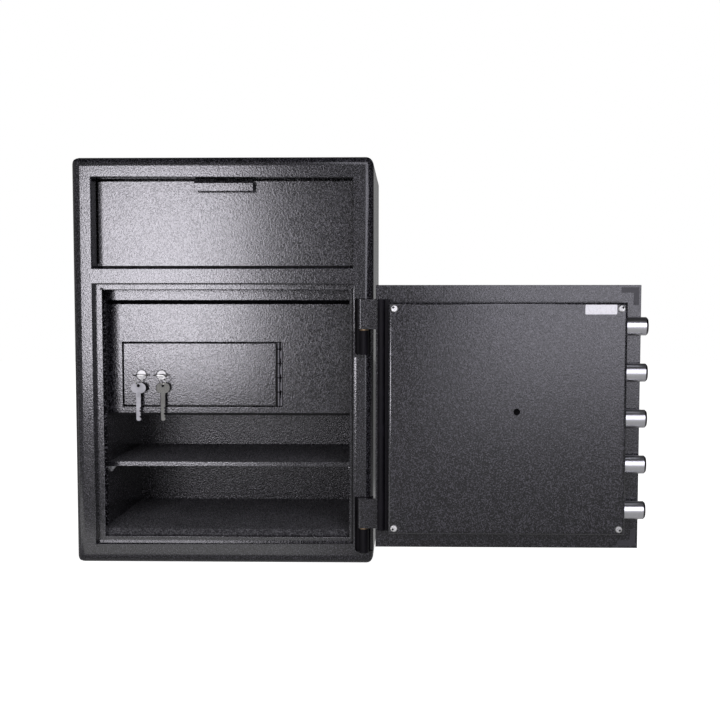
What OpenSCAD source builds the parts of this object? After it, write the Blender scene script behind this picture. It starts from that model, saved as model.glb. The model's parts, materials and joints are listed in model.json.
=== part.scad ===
// Drop safe with a tilting deposit hopper, a locked inner box and its main door swung wide open.
// The origin is the middle of the base. +Z is up, the front faces -Y, and the door hangs on the +X side.
// The main door's pieces are drawn in its closed place and then swung half a turn about the hinge pins.

/* [Body] */
// Outside width of the body
body_w = 508; // [496:1:540]
// Outside depth of the body
body_d = 508; // [490:1:560]
// Outside height of the body
body_h = 686; // [680:1:740]
// Radius of the rounded outside edges
edge_r = 15; // [12:0.5:17]
// Thickness of the side, roof and base plates
skin_t = 5; // [3:0.5:6]
// Thickness of the front face plate
face_t = 6; // [4:0.5:7]
// Diameter of the anchor holes in the base
anchor_d = 14; // [8:0.5:18]
// Distance between the anchor holes, across and deep
anchor_gap = 300; // [200:5:340]

/* [Front openings] */
// Width of the stiles beside the openings
stile_w = 34; // [32:0.5:38]
// Height of the rail under the door opening
bottom_rail = 34; // [30:0.5:38]
// Height of the rail between the two openings
mid_rail = 28; // [26:0.5:34]
// Height of the rail above the hopper opening
top_rail = 34; // [32:0.5:40]
// Height of the hopper opening
hopper_open_h = 150; // [142:0.5:160]

/* [Door stop] */
// Thickness of the jamb around the door opening
jamb_t = 3; // [2:0.25:4]
// Set-back of the stop flange behind the front face
stop_setback = 19; // [17:0.25:19.5]
// Reach of the stop flange on the bolt side
stop_left = 12.3; // [10:0.1:14]
// Reach of the stop flange on the hinge side
stop_right = 7; // [5:0.1:8]
// Reach of the stop flange above and below
stop_ends = 9; // [6:0.1:11]

/* [Liner] */
// Clear width between the liner walls
liner_in_w = 430; // [424:1:434]
// Thickness of the liner sheet
liner_t = 2; // [1.5:0.25:3]
// Set-back of the liner's front edge behind the front face
liner_setback = 89; // [86:0.5:92]
// Space between the liner's back wall and the outside of the back
liner_back_gap = 54; // [30:1:70]
// Space between the liner's top and the roof plate
liner_top_gap = 3; // [2:0.5:8]

/* [Shelf and mats] */
// Height of the underside of the shelf's front lip
shelf_z = 156.4; // [130:0.2:180]
// Height of the shelf's front lip
shelf_lip_h = 8.1; // [6:0.1:14]
// Thickness of the shelf sheet
shelf_t = 2; // [1.5:0.25:3]
// Thickness of the shelf's carpet
shelf_mat_t = 2.5; // [1.5:0.25:3]
// Thickness of the floor mat
floor_mat_t = 12; // [6:0.5:14]
// Size of one shelf clip
clip_size = 12; // [8:0.5:16]

/* [Deposit hopper] */
// Depth of the walls around the hopper opening, from the front face
reveal_depth = 40; // [36:0.5:41]
// Thickness of those walls
reveal_t = 2.5; // [2:0.25:3]
// Set-back of the hopper panel behind the front face
panel_setback = 49; // [48:0.5:52]
// Thickness of the hopper sheets
hopper_t = 2; // [1.5:0.25:2.5]
// Gap beside the hopper panel
panel_side_gap = 2; // [1.5:0.25:4]
// Gap above the hopper panel
panel_top_gap = 3; // [2:0.25:6]
// Depth of the panel's bent edges
panel_bend = 12; // [8:0.5:14]
// Length of the pull lip
pull_len = 100; // [60:1:160]
// Height of the pull lip
pull_h = 18; // [14:0.5:24]
// How far the pull lip stands out from the panel
pull_out = 25; // [18:0.5:28]
// Thickness of the pull lip
pull_t = 2.5; // [2:0.25:3]
// Diameter of the hopper's hinge rod
rod_d = 6; // [5:0.25:7]
// Length of the hopper's tray, from the rod
tray_len = 98; // [80:0.5:99]
// Height of the back of the tray's cheeks
cheek_back_h = 62; // [40:1:70]
// Slope of the tray at rest, in degrees
tray_slope = 20; // [12:1:24]
// Height of the anti-fish baffle's edge above the hopper opening's lower edge
baffle_up = 70; // [60:1:80]
// Length of one tooth of the anti-fish baffle
tooth_len = 16; // [8:1:20]
// Pitch of the baffle's teeth
tooth_pitch = 21.5; // [15:0.5:30]

/* [Inner lock box] */
// Set-back of the lock box's face behind the front face
locker_setback = 94; // [93:0.5:96]
// Distance of the lock box's top under the door opening's upper edge
locker_drop = 33.1; // [30:0.1:36]
// Height of the lock box's face
locker_face_h = 190.3; // [186:0.1:192]
// Depth of the lock box
locker_depth = 150; // [130:1:152]
// Height of the lock box behind its face
locker_box_h = 133; // [130:0.5:134]
// Thickness of the lock box's sheets
locker_t = 2; // [1.5:0.25:2.5]
// Thickness of the lock box's door
locker_door_t = 3; // [2:0.25:3.5]
// Distance of the door's opening from the liner wall
locker_open_x = 27; // [22:0.5:34]
// Width of the door's opening
locker_open_w = 279.9; // [270:0.1:290]
// Height of the door's opening
locker_open_h = 113.4; // [108:0.1:118]
// Width of the strip under the door's opening
locker_sill = 10.9; // [6:0.1:11]
// Gap around the lock box's door
locker_gap = 1.5; // [1:0.1:2]
// Width of the piano hinge's leaf on the lock box's door
leaf_reach = 20; // [14:0.5:26]
// Depth of the bent edge that holds the piano hinge
hinge_bend = 18; // [14:0.5:24]
// Diameter of the piano hinge's knuckles
knuckle_d = 5.4; // [5:0.1:6]
// Diameter of the piano hinge's pin
piano_pin_d = 2.4; // [2:0.1:3]
// Number of knuckles on the piano hinge
knuckles = 8; // [4:1:12]

/* [Keys] */
// Diameter of a lock nose
nose_d = 16.8; // [14:0.2:18]
// Distance between the two noses
nose_gap = 35.2; // [32:0.2:38]
// Distance of the left nose from the opening's left edge
nose_x = 33.9; // [30:0.1:38]
// Height of the noses above the opening's lower edge
nose_up = 55.6; // [50:0.2:60]
// How far the noses stand out
nose_out = 2; // [1:0.25:3]
// Thickness of a key
key_t = 2; // [1.6:0.1:2.4]
// Width of a key's bow
bow_w = 26; // [22:0.5:27]
// Length of a key's bow
bow_h = 18; // [17:0.5:20]
// Width of a key's blade
blade_w = 8; // [6:0.25:9]
// Length of a key's blade
blade_len = 48; // [40:0.5:50]
// Radius of a key ring, to the middle of its wire
ring_r = 9; // [8.5:0.1:9.6]
// Diameter of the key ring's wire
wire_d = 1.5; // [1.2:0.1:1.6]

/* [Main door] */
// Gap around the door plate
door_gap = 1.5; // [1:0.1:2.5]
// Thickness of the door plate
plate_t = 12.7; // [10:0.1:14]
// Depth of the door's inner box, with its cover
box_depth = 48.3; // [46:0.1:49]
// Inset of the inner box from the plate's bolt edge
box_in_bolt = 27.8; // [26:0.1:30]
// Inset of the inner box from the plate's hinge edge
box_in_hinge = 21.6; // [21:0.1:24]
// Inset of the inner box from the plate's upper and lower edges
box_in_ends = 28.6; // [26:0.1:34]
// Thickness of the inner box's sheets
box_t = 2; // [1.5:0.25:2.5]
// Depth of the cover's bent edges
cover_bend = 10; // [6:0.5:14]
// Distance of the cover's screws from its edges
screw_in = 9.8; // [8.5:0.1:13]
// Diameter of the cover screws' heads
screw_head_d = 11.8; // [9:0.1:13]
// Width of the dead bar on the hinge side
dead_bar_w = 13; // [11:0.25:13.25]
// Depth of the dead bar
dead_bar_d = 16; // [13:0.5:17]
// Length of the dead bar
dead_bar_len = 383; // [300:1:390]

/* [Door hinges] */
// Distance of the hinge pins from the opening's edge
pin_out_x = 18.5; // [18:0.1:19]
// Distance of the hinge pins in front of the front face
pin_out_y = 12.5; // [12:0.1:13]
// Diameter of the hinge pins
pin_d = 10; // [8:0.5:11]
// Diameter of the frame's hinge knuckles
frame_knuckle_d = 16; // [14:0.5:17]
// Height of one hinge block on the door
block_h = 50; // [40:1:56]
// Height of one hinge knuckle on the frame
frame_knuckle_h = 41; // [30:1:43]
// Thickness of the brass washers
washer_t = 2.4; // [1.5:0.1:3]
// Distance of the upper washer's underside under the door opening's upper edge
upper_hinge_drop = 77; // [68:1:100]
// Height of the lower washer's underside above the door opening's lower edge
lower_hinge_z = 28; // [28:0.5:60]

/* [Bolt work] */
// Diameter of the locking bolts
bolt_d = 30; // [26:0.5:30]
// Distance of the outer bolts from the inner box's ends
bolt_in_ends = 38.7; // [34:0.1:46]
// Length of a locking bolt
bolt_len = 76; // [70:1:80]
// How far the thrown bolts reach past the plate's edge
bolt_out = 7.5; // [5:0.5:9]
// Travel of the bolts
bolt_throw = 25; // [20:0.5:25]
// Width of the bar that carries the bolts
bar_w = 22; // [18:0.5:22]
// Height of the handle and the dial above the door opening's lower edge
lock_up = 232; // [200:1:250]
// Distance of the handle from the plate's bolt edge
handle_in = 128.5; // [126.5:0.5:130.5]
// Distance between the handle and the dial
dial_gap = 77.3; // [75:0.1:84]
// Diameter of the handle's spindle
spindle_d = 12; // [10:0.5:12]
// Diameter of the dial
dial_d = 72; // [60:1:80]
// Diameter of the dial's spindle
dial_spindle_d = 8; // [6:0.5:9]
// How far the handle's hub stands out from its collar
handle_out = 40; // [36:1:50]
// Length of the handle's lever
lever_len = 112; // [90:1:130]
// Diameter of the handle's lever
lever_d = 16; // [12:0.5:20]

/* [Hidden] */
$fn = 64;
run_fit = 0.05;
bite = 0.01;
past = 1;

black_coat = "#2c2d2f";
liner_coat = "#252628";
bright = "#d5d6d8";
steel = "#8d8f92";
brassy = "#b3894a";
carpet = "#1f1f21";

front_y = -body_d / 2;
frame_d = edge_r;
open_w = body_w - 2 * stile_w;
open_h = body_h - top_rail - hopper_open_h - mid_rail - bottom_rail;
open_top = bottom_rail + open_h;
hopper_z = open_top + mid_rail;
hopper_top = hopper_z + hopper_open_h;

stop_y = front_y + stop_setback;
stop_back = stop_y + jamb_t;
floor_top = bottom_rail + stop_ends;
liner_y = front_y + liner_setback;
liner_back = body_d / 2 - liner_back_gap;
liner_top = body_h - skin_t - liner_top_gap;
liner_half = liner_in_w / 2;
skin_half = body_w / 2 - skin_t;

panel_y = front_y + panel_setback;
rod_r = rod_d / 2;
tube_r = rod_r + 2;
rod_y = panel_y + hopper_t + tube_r;
rod_z = hopper_z + tube_r + 1;
panel_half = open_w / 2 - panel_side_gap;
panel_z = rod_z - tube_r + 3;
panel_top = hopper_top - panel_top_gap;
tray_half = liner_half - 3;
ear_t = reveal_t;
ear_h = 20;

locker_z = open_top - locker_drop - locker_face_h;
pan_y = liner_y - 8;
pan_t = 2;
pan_z = locker_z + locker_face_h + 6.6;
pan_flat = 23;
pan_top = hopper_z - 12;
locker_y = front_y + locker_setback;
locker_back = locker_y + locker_depth;
pan_end_y = locker_back + 2;
pan_end_z = locker_z + locker_box_h + 6;
baffle_y = rod_y + tray_len + 4;
baffle_t = 3;
baffle_z = hopper_z + baffle_up;
baffle_half = liner_half;

locker_open_left = -liner_half + locker_open_x;
locker_open_right = locker_open_left + locker_open_w;
locker_open_z = locker_z + locker_sill;
knuckle_r = knuckle_d / 2;
piano_x = locker_open_right - 2 * knuckle_r;
piano_y = locker_y + locker_door_t - knuckle_r + 0.2;
leaf_t = 1.2;
leaf_z = locker_open_z + locker_gap;
leaf_h = locker_open_h - 2 * locker_gap;
locker_door_right = piano_x - knuckle_r - locker_gap;
locker_door_left = locker_open_left + locker_gap;
nose_left_x = locker_open_left + nose_x;
nose_right_x = nose_left_x + nose_gap;
nose_z = locker_open_z + nose_up;
nose_y = locker_y - nose_out;
nose_r = nose_d / 2;
nose_back = locker_y + locker_door_t + 44;
case_back = nose_back + 4;
case_left = nose_left_x - nose_r - 15;
case_right = nose_right_x + nose_r + 15;
case_z = nose_z - 28;
case_h = 56;
slip = 0.3;
key_slip = 0.5;
catch_len = 40;
catch_h = 12;
catch_d = 10;
catch_tip = case_left - 3;
catch_z = nose_z + nose_r + 3.5;
catch_y = locker_y + locker_door_t + 8;

bow_hole_r = 3.5;
bow_rim = 1.7;
spare_hole_r = 3;
bow_end_y = nose_y - 1 - bow_h;
bow_hole_y = bow_end_y + bow_rim + bow_hole_r;
left_turn = 35;
right_turn = -50;
right_spare_turn = -34;
wire_r = wire_d / 2;
left_cuts = [2.4, 1.2, 3, 1.8];
right_cuts = [1.4, 2.8, 1.8, 2.6];

plate_half = open_w / 2 - door_gap;
handle_x = plate_half - handle_in;
dial_x = handle_x - dial_gap;
plate_z = bottom_rail + door_gap;
plate_h = open_h - 2 * door_gap;
plate_in = front_y + plate_t;
box_left = -plate_half + box_in_bolt;
box_right = plate_half - box_in_hinge;
box_w = box_right - box_left;
box_z = plate_z + box_in_ends;
box_h = plate_h - 2 * box_in_ends;
bolt_gap = (box_h - 2 * bolt_in_ends) / 4;
cover_y = plate_in + box_depth;
cover_in = cover_y - box_t;
wall_in = box_t + 0.2;
tab_size = 20;
tab_t = 3;
thread_d = 6;

hinge_x = open_w / 2 + pin_out_x;
hinge_y = front_y - pin_out_y;
pin_r = pin_d / 2;
upper_z = open_top - upper_hinge_drop;
lower_z = bottom_rail + lower_hinge_z;
notch_x = open_w / 2 + jamb_t;
notch_gap = 1;
pocket_t = 5;
block_in = 1;
block_near = 9.5;
block_out = 8.5;
block_gap = 0.9;
strap_len = 50;
strap_t = 12;

door_mid_z = bottom_rail + open_h / 2;
bolt_r = bolt_d / 2;
bolt_y = plate_in + 25.3;
bolt_tip = -plate_half - bolt_out;
bolt_tail = bolt_tip + bolt_len;
bar_t = 10;
bar_y = bolt_y - bar_t / 2;
bar_over = 20;
guide_x = bolt_tail - 15 - bolt_throw / 5;
guide_t = 5;
lock_z = bottom_rail + lock_up;
half_throw = bolt_throw / 2;
drive_r = 4;
drive_x = -handle_x - half_throw;
drive_z = lock_z + half_throw;
arm_t = 5;
cam_y = bar_y + arm_t + 1;
cam_t = 8;
cam_hub_r = spindle_d / 2 + 5;
cam_reach = 24;
cam_w = 18;
slot_r = drive_r + 1.3;
escutcheon_r = 28;
escutcheon_t = 5;
bush_r = spindle_d / 2 + 4;
handle_front = front_y - escutcheon_t - handle_out;
plate_hard = 100;
hard_t = 3;
case_w = 60;
lock_case_h = 81;
case_d = 27;
change_hole_d = 11;
dial_ring_r = dial_d / 2 + 9;
dial_ring_t = 6;

// A rectangle with round corners, centred on the origin
module round_rect(w, h, r) {
    square([w - 2 * r, h], center = true);
    square([w, h - 2 * r], center = true);
    for (x = [-1, 1], y = [-1, 1])
        translate([x * (w / 2 - r), y * (h / 2 - r)])
            circle(r = r);
}

// A box from its lowest corner to its highest corner
module span(a, b) {
    translate(a)
        cube(b - a);
}

// An outline in X and Z, given a thickness along Y from y0 to y1
module front_plate(y0, y1) {
    translate([0, y1, 0])
        rotate([90, 0, 0])
            linear_extrude(y1 - y0)
                children();
}

// An outline in Y and Z, given a width along X from x0 to x1
module side_plate(x0, x1) {
    translate([x0, 0, 0])
        rotate([90, 0, 90])
            linear_extrude(x1 - x0)
                children();
}

// A round bar along Y
module bar_y_axis(x, z, y0, y1, r) {
    translate([x, y1, z])
        rotate([90, 0, 0])
            cylinder(r = r, h = y1 - y0);
}

// A round bar along X
module bar_x_axis(y, z, x0, x1, r) {
    translate([x0, y, z])
        rotate([0, 90, 0])
            cylinder(r = r, h = x1 - x0);
}

// Swings what is drawn in the door's closed place to its open place
module swung_open() {
    translate([hinge_x, hinge_y, 0])
        rotate([0, 0, 180])
            translate([-hinge_x, -hinge_y, 0])
                children();
}

// The whole body as one block with rounded edges
module body_block() {
    intersection() {
        linear_extrude(body_h)
            round_rect(body_w, body_d, edge_r);
        front_plate(-body_d / 2, body_d / 2)
            translate([0, body_h / 2])
                round_rect(body_w, body_h, edge_r);
        side_plate(-body_w / 2, body_w / 2)
            translate([0, body_h / 2])
                round_rect(body_d, body_h, edge_r);
    }
}

// The outline of the space inside the side, roof and base plates
module inside_outline(gap) {
    translate([0, body_h / 2])
        round_rect(body_w - 2 * skin_t - 2 * gap, body_h - 2 * skin_t - 2 * gap, edge_r - skin_t - gap);
}

// The cut in the front frame's edge that holds one hinge, whose washer is at height z
module hinge_notch(z) {
    corner_r = 5;
    front_plate(front_y - past, front_y + frame_d + past) {
        translate([notch_x, z - frame_knuckle_h + corner_r])
            square([body_w, frame_knuckle_h + washer_t + block_h + notch_gap - corner_r]);
        translate([notch_x + corner_r, z - frame_knuckle_h])
            square([body_w, corner_r + past]);
        translate([notch_x + corner_r, z - frame_knuckle_h + corner_r])
            circle(r = corner_r);
    }
}

module front_frame() {
    color(black_coat)
        difference() {
            intersection() {
                body_block();
                span([-body_w, front_y, 0], [body_w, front_y + frame_d, body_h]);
            }
            front_plate(front_y + face_t, front_y + frame_d + past)
                inside_outline(0);
            span([-open_w / 2, front_y - past, bottom_rail], [open_w / 2, 0, open_top]);
            span([-open_w / 2, front_y - past, hopper_z], [open_w / 2, 0, hopper_top]);
            hinge_notch(upper_z);
            hinge_notch(lower_z);
        }
}

module anchor_holes(z0, z1) {
    for (x = [-1, 1], y = [-1, 1])
        translate([x * anchor_gap / 2, y * anchor_gap / 2, z0])
            cylinder(d = anchor_d, h = z1 - z0);
}

module body_wrap() {
    color(black_coat)
        difference() {
            front_plate(front_y + frame_d, -front_y - frame_d)
                translate([0, body_h / 2])
                    round_rect(body_w, body_h, edge_r);
            front_plate(-body_d, body_d)
                inside_outline(0);
            anchor_holes(-past, skin_t + past);
        }
}

module back_panel() {
    color(black_coat)
        difference() {
            intersection() {
                body_block();
                span([-body_w, -front_y - frame_d, 0], [body_w, -front_y, body_h]);
            }
            front_plate(-front_y - frame_d - past, -front_y - skin_t)
                inside_outline(0);
        }
}

module door_stop_frame() {
    half = open_w / 2;
    color(black_coat)
        difference() {
            span([-half - jamb_t, front_y + face_t, bottom_rail - jamb_t],
                 [half + jamb_t, stop_back, open_top + jamb_t]);
            span([-half, front_y, bottom_rail], [half, stop_y, open_top]);
            span([-half + stop_left, front_y, floor_top],
                 [half - stop_right, stop_back + past, open_top - stop_ends]);
        }
}

module hopper_surround() {
    half = open_w / 2;
    color(black_coat)
        difference() {
            union() {
                span([-half - reveal_t, front_y + face_t, hopper_z - reveal_t],
                     [half + reveal_t, front_y + reveal_depth, hopper_top + reveal_t]);
                for (x = [-half - ear_t, half])
                    side_plate(x, x + ear_t) {
                        translate([front_y + reveal_depth - past, rod_z - ear_h / 2])
                            square([rod_y - front_y - reveal_depth + past, ear_h]);
                        translate([rod_y, rod_z])
                            circle(d = ear_h);
                    }
            }
            span([-half, front_y, hopper_z], [half, front_y + reveal_depth + past, hopper_top]);
            bar_x_axis(rod_y, rod_z, -body_w, body_w, rod_r);
        }
}

module hopper_rod() {
    color(steel)
        bar_x_axis(rod_y, rod_z, -open_w / 2 - ear_t, open_w / 2 + ear_t, rod_r);
}

// The liner's floor sheet, which reaches forward into the door opening
module liner_floor() {
    seam = 0.1;
    low = floor_top - liner_t;
    difference() {
        union() {
            span([-open_w / 2, stop_back, low], [open_w / 2, liner_y - seam, floor_top]);
            span([-liner_half + seam, stop_back, low], [liner_half - seam, liner_back - seam, floor_top]);
        }
        anchor_holes(low - past, floor_top + past);
    }
}

module inner_liner() {
    outer = liner_half + liner_t;
    low = floor_top - liner_t;
    seam = 0.1;
    color(liner_coat) {
        difference() {
            union() {
                span([-outer, liner_y, low], [outer, liner_back + liner_t, liner_top]);
                intersection() {
                    front_plate(liner_y, liner_y + liner_t)
                        inside_outline(0.3);
                    span([-body_w, liner_y, 0], [body_w, 0, liner_top]);
                }
            }
            span([-liner_half, liner_y - past, low - seam], [liner_half, liner_back, liner_top - liner_t]);
            anchor_holes(0, floor_top + past);
        }
        liner_floor();
    }
}

// A plate whose lower edge is a row of teeth
module anti_fish_baffle() {
    teeth = floor(2 * (baffle_half - 4) / tooth_pitch);
    first = -teeth * tooth_pitch / 2;
    color(liner_coat) {
        front_plate(baffle_y, baffle_y + baffle_t) {
            translate([-baffle_half, baffle_z])
                square([2 * baffle_half, liner_top - liner_t - baffle_z]);
            for (i = [0 : teeth - 1])
                translate([first + i * tooth_pitch, baffle_z + bite])
                    polygon([[1, 0], [tooth_pitch / 2, -tooth_len], [tooth_pitch - 1, 0]]);
        }
        span([-baffle_half, baffle_y, liner_top - liner_t - baffle_t],
             [baffle_half, baffle_y + 26, liner_top - liner_t]);
    }
}

// The folded sheet that takes the deposits from the hopper to the space behind the lock box
module chute_pan() {
    color(liner_coat) {
        side_plate(-liner_half, liner_half)
            polygon([
                [pan_y, pan_z], [pan_y + pan_flat, pan_z], [pan_end_y, pan_end_z],
                [pan_end_y, pan_end_z + pan_t], [pan_y + pan_flat, pan_z + pan_t],
                [pan_y + pan_t, pan_z + pan_t], [pan_y + pan_t, pan_top],
                [stop_back, pan_top], [stop_back, pan_top - pan_t], [pan_y, pan_top - pan_t]]);
        for (x = [-liner_half, liner_half - pan_t])
            side_plate(x, x + pan_t)
                polygon([
                    [liner_y + bite, pan_z], [pan_y + pan_flat, pan_z], [pan_end_y, pan_end_z],
                    [pan_end_y, pan_end_z + 40], [liner_y + bite, pan_top]]);
    }
}

module shelf() {
    back_gap = 4;
    half = liner_half - 0.3;
    top = shelf_z + shelf_lip_h;
    deck = top - shelf_mat_t;
    color(liner_coat) {
        span([-half, liner_y + 2, deck - shelf_t], [half, liner_back - back_gap, deck]);
        span([-half, liner_y + 2, shelf_z], [half, liner_y + 2 + shelf_t, top]);
        span([-half, liner_back - back_gap - shelf_t, shelf_z], [half, liner_back - back_gap, top]);
        for (x = [-half, half - shelf_t])
            span([x, liner_y + 2, shelf_z], [x + shelf_t, liner_back - back_gap, deck]);
    }
}

module shelf_mat() {
    half = liner_half - 1;
    top = shelf_z + shelf_lip_h;
    color(carpet)
        span([-half, liner_y + 2 + shelf_t, top - shelf_mat_t],
             [half, liner_back - 4 - shelf_t, top]);
}

module shelf_clips() {
    depth = liner_back - liner_y;
    arm = 2;
    color(steel)
        for (side = [-1, 1], y = [liner_y + depth * 0.1, liner_y + depth * 0.85])
            translate([side * liner_half, y, shelf_z])
                mirror([side > 0 ? 1 : 0, 0, 0]) {
                    span([0, -clip_size / 2, -clip_size], [arm, clip_size / 2, 0]);
                    span([0, -clip_size / 2, -arm], [clip_size, clip_size / 2, 0]);
                    side_web();
                }
}

// The small gusset under a shelf clip
module side_web() {
    front_plate(-1, 1)
        polygon([[1, -1], [clip_size - 1, -1], [1, 1 - clip_size]]);
}

module floor_mat() {
    half = liner_half - 1;
    front = stop_back + 17;
    color(carpet)
        translate([0, 0, floor_top])
            linear_extrude(floor_mat_t)
                translate([0, (front + liner_back - 1) / 2])
                    round_rect(2 * half, liner_back - 1 - front, 6);
}

module locker_face() {
    color(black_coat)
        difference() {
            union() {
                span([-liner_half, locker_y, locker_z],
                     [liner_half, locker_y + locker_t, locker_z + locker_face_h]);
                span([locker_open_right, locker_y, leaf_z],
                     [locker_open_right + locker_t, piano_y + hinge_bend, leaf_z + leaf_h]);
            }
            span([locker_open_left, locker_y - past, locker_open_z],
                 [locker_open_right, locker_y + locker_t + past, locker_open_z + locker_open_h]);
        }
}

module locker_box() {
    color(liner_coat)
        difference() {
            span([-liner_half, locker_y + locker_t, locker_z], [liner_half, locker_back, locker_z + locker_box_h]);
            span([-liner_half + locker_t, locker_y, locker_z + locker_t],
                 [liner_half - locker_t, locker_back - locker_t, locker_z + locker_box_h - locker_t]);
        }
}

// Knuckles of the piano hinge: every other one, from the first or the second
module knuckle_row(first, bore_r) {
    pitch = leaf_h / knuckles;
    cut = 0.2;
    for (i = [first : 2 : knuckles - 1])
        translate([piano_x, piano_y, leaf_z + i * pitch + cut])
            difference() {
                children();
                translate([0, 0, -past])
                    cylinder(r = bore_r, h = pitch + 2 * past);
            }
}

module locker_fixed_leaf() {
    h = leaf_h / knuckles - 0.4;
    reach = locker_open_right - piano_x;
    color(black_coat) {
        knuckle_row(0, piano_pin_d / 2)
            union() {
                cylinder(r = knuckle_r, h = h);
                span([0, knuckle_r - leaf_t, 0], [reach, knuckle_r, h]);
            }
        span([locker_open_right - leaf_t, piano_y + knuckle_r - leaf_t, leaf_z],
             [locker_open_right, piano_y + hinge_bend, leaf_z + leaf_h]);
    }
}

module locker_moving_leaf() {
    h = leaf_h / knuckles - 0.4;
    reach = piano_x - locker_door_right;
    color(black_coat) {
        knuckle_row(1, piano_pin_d / 2 + run_fit)
            union() {
                cylinder(r = knuckle_r, h = h);
                span([-reach, knuckle_r - 0.8, 0], [0, knuckle_r, h]);
            }
        span([locker_door_right - leaf_reach, locker_y + locker_door_t, leaf_z],
             [locker_door_right + 0.5, locker_y + locker_door_t + leaf_t, leaf_z + leaf_h]);
    }
}

module locker_hinge_pin() {
    color(bright)
        translate([piano_x, piano_y, leaf_z])
            cylinder(d = piano_pin_d, h = leaf_h);
}

module locker_door_panel() {
    color(black_coat)
        difference() {
            span([locker_door_left, locker_y, leaf_z],
                 [locker_door_right, locker_y + locker_door_t, leaf_z + leaf_h]);
            for (x = [nose_left_x, nose_right_x])
                bar_y_axis(x, nose_z, locker_y - past, locker_y + locker_door_t + past, nose_r + run_fit);
        }
}

module locker_lock() {
    color(steel)
        difference() {
            span([case_left, locker_y + locker_door_t, case_z], [case_right, case_back, case_z + case_h]);
            for (x = [nose_left_x, nose_right_x])
                bar_y_axis(x, nose_z, locker_y, nose_back + slip, nose_r + run_fit);
            span([case_left - past, catch_y - slip, catch_z - slip],
                 [catch_tip + catch_len + slip, catch_y + catch_d + slip, catch_z + catch_h + slip]);
        }
}

module locker_catch() {
    color(brassy)
        span([catch_tip, catch_y, catch_z], [catch_tip + catch_len, catch_y + catch_d, catch_z + catch_h]);
}

// A flat key in its own plane: the bow's end at the origin, the blade towards -Y
module key_outline(cuts, hole_r) {
    bow_mid = -bow_h / 2;
    difference() {
        union() {
            translate([0, bow_mid])
                square([bow_w - bow_h, bow_h], center = true);
            for (x = [-1, 1])
                translate([x * (bow_w - bow_h) / 2, bow_mid])
                    circle(d = bow_h);
            translate([-blade_w / 2, -bow_h - blade_len + 2])
                square([blade_w, blade_len]);
            translate([0, -bow_h - blade_len + 2])
                polygon([[-blade_w / 2, bite], [-blade_w / 4, -2], [blade_w / 4, -2], [blade_w / 2, bite]]);
        }
        translate([0, -bow_rim - hole_r])
            circle(r = hole_r);
        for (i = [0 : len(cuts) - 1])
            translate([blade_w / 2, -bow_h - blade_len + 7 + i * 5])
                polygon([[bite, -2.4], [-cuts[i], -1], [-cuts[i], 1], [bite, 2.4]]);
    }
}

// The round plug that a key goes into
module lock_nose(x) {
    slot_w = blade_w + 0.3;
    slot_h = key_t + 0.3;
    color(bright)
        difference() {
            bar_y_axis(x, nose_z, nose_y, nose_back, nose_r);
            span([x - slot_w / 2, nose_y - past, nose_z - slot_h / 2],
                 [x + slot_w / 2, nose_back - 1, nose_z + slot_h / 2]);
        }
}

// A key in its plug, lying flat
module fitted_key(x, cuts) {
    color(bright)
        translate([x, bow_end_y, nose_z - key_t / 2])
            mirror([0, 1, 0])
                linear_extrude(key_t)
                    key_outline(cuts, bow_hole_r);
}

// How far the rim of the bow's hole lies from the hole's middle, in the direction of the ring
function rim_mid(turn) = (bow_hole_r + min((bow_rim + bow_hole_r) / cos(turn), bow_h / 2 - 1)) / 2;
function rim_half(turn) = rim_mid(turn) - bow_hole_r;
// Depth of the ring's middle under the middle of the bow, so that the ring clears the rim
function ring_drop(turn) = sqrt(pow(ring_r - wire_r - 0.25, 2) - pow(rim_half(turn), 2)) - key_t / 2;
function ring_x(x, turn) = x - rim_mid(turn) * sin(turn);
function ring_y(turn) = bow_hole_y - rim_mid(turn) * cos(turn);

module key_ring(x, turn) {
    color(bright)
        translate([ring_x(x, turn), ring_y(turn), nose_z - ring_drop(turn)])
            rotate([0, 0, -turn])
                rotate([0, 90, 0])
                    rotate_extrude()
                        translate([ring_r, 0])
                            circle(r = wire_r);
}

// A spare key that hangs from the bottom of a ring
module hanging_key(x, turn, face, cuts) {
    top = nose_z - ring_drop(turn) - ring_r + wire_r + key_slip + bow_rim;
    color(bright)
        translate([ring_x(x, turn), ring_y(turn), top])
            rotate([0, 0, -face])
                front_plate(-key_t / 2, key_t / 2)
                    key_outline(cuts, spare_hole_r);
}

// The frame's half of one hinge: the plate that closes the notch, the arm and the knuckle
module frame_hinge(z) {
    arm_w = frame_knuckle_d - 2;
    pocket_y = front_y + frame_d - pocket_t;
    low = z - frame_knuckle_h;
    high = z + washer_t + block_h + notch_gap;
    rim = 4;
    color(black_coat)
        difference() {
            union() {
                difference() {
                    span([notch_x, front_y + face_t, low - rim], [skin_half, front_y + frame_d, high + rim]);
                    span([notch_x - past, front_y, low], [body_w, pocket_y, high]);
                }
                span([hinge_x - arm_w / 2, hinge_y, low + 0.5], [hinge_x + arm_w / 2, pocket_y + past, z]);
                translate([hinge_x, hinge_y, low + 0.5])
                    cylinder(d = frame_knuckle_d, h = frame_knuckle_h - 0.5);
            }
            translate([hinge_x, hinge_y, low + 4])
                cylinder(r = pin_r, h = frame_knuckle_h);
        }
}

module hinge_pins() {
    color(steel)
        for (z = [upper_z, lower_z])
            translate([hinge_x, hinge_y, z - frame_knuckle_h + 4])
                cylinder(r = pin_r, h = frame_knuckle_h - 4 + washer_t + block_h - 6);
}

module hinge_washers() {
    color(brassy)
        for (z = [upper_z, lower_z])
            translate([hinge_x, hinge_y, z])
                difference() {
                    cylinder(r = frame_knuckle_d / 2 - 0.5, h = washer_t);
                    translate([0, 0, -past])
                        cylinder(r = pin_r + run_fit, h = washer_t + 2 * past);
                }
}

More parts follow.
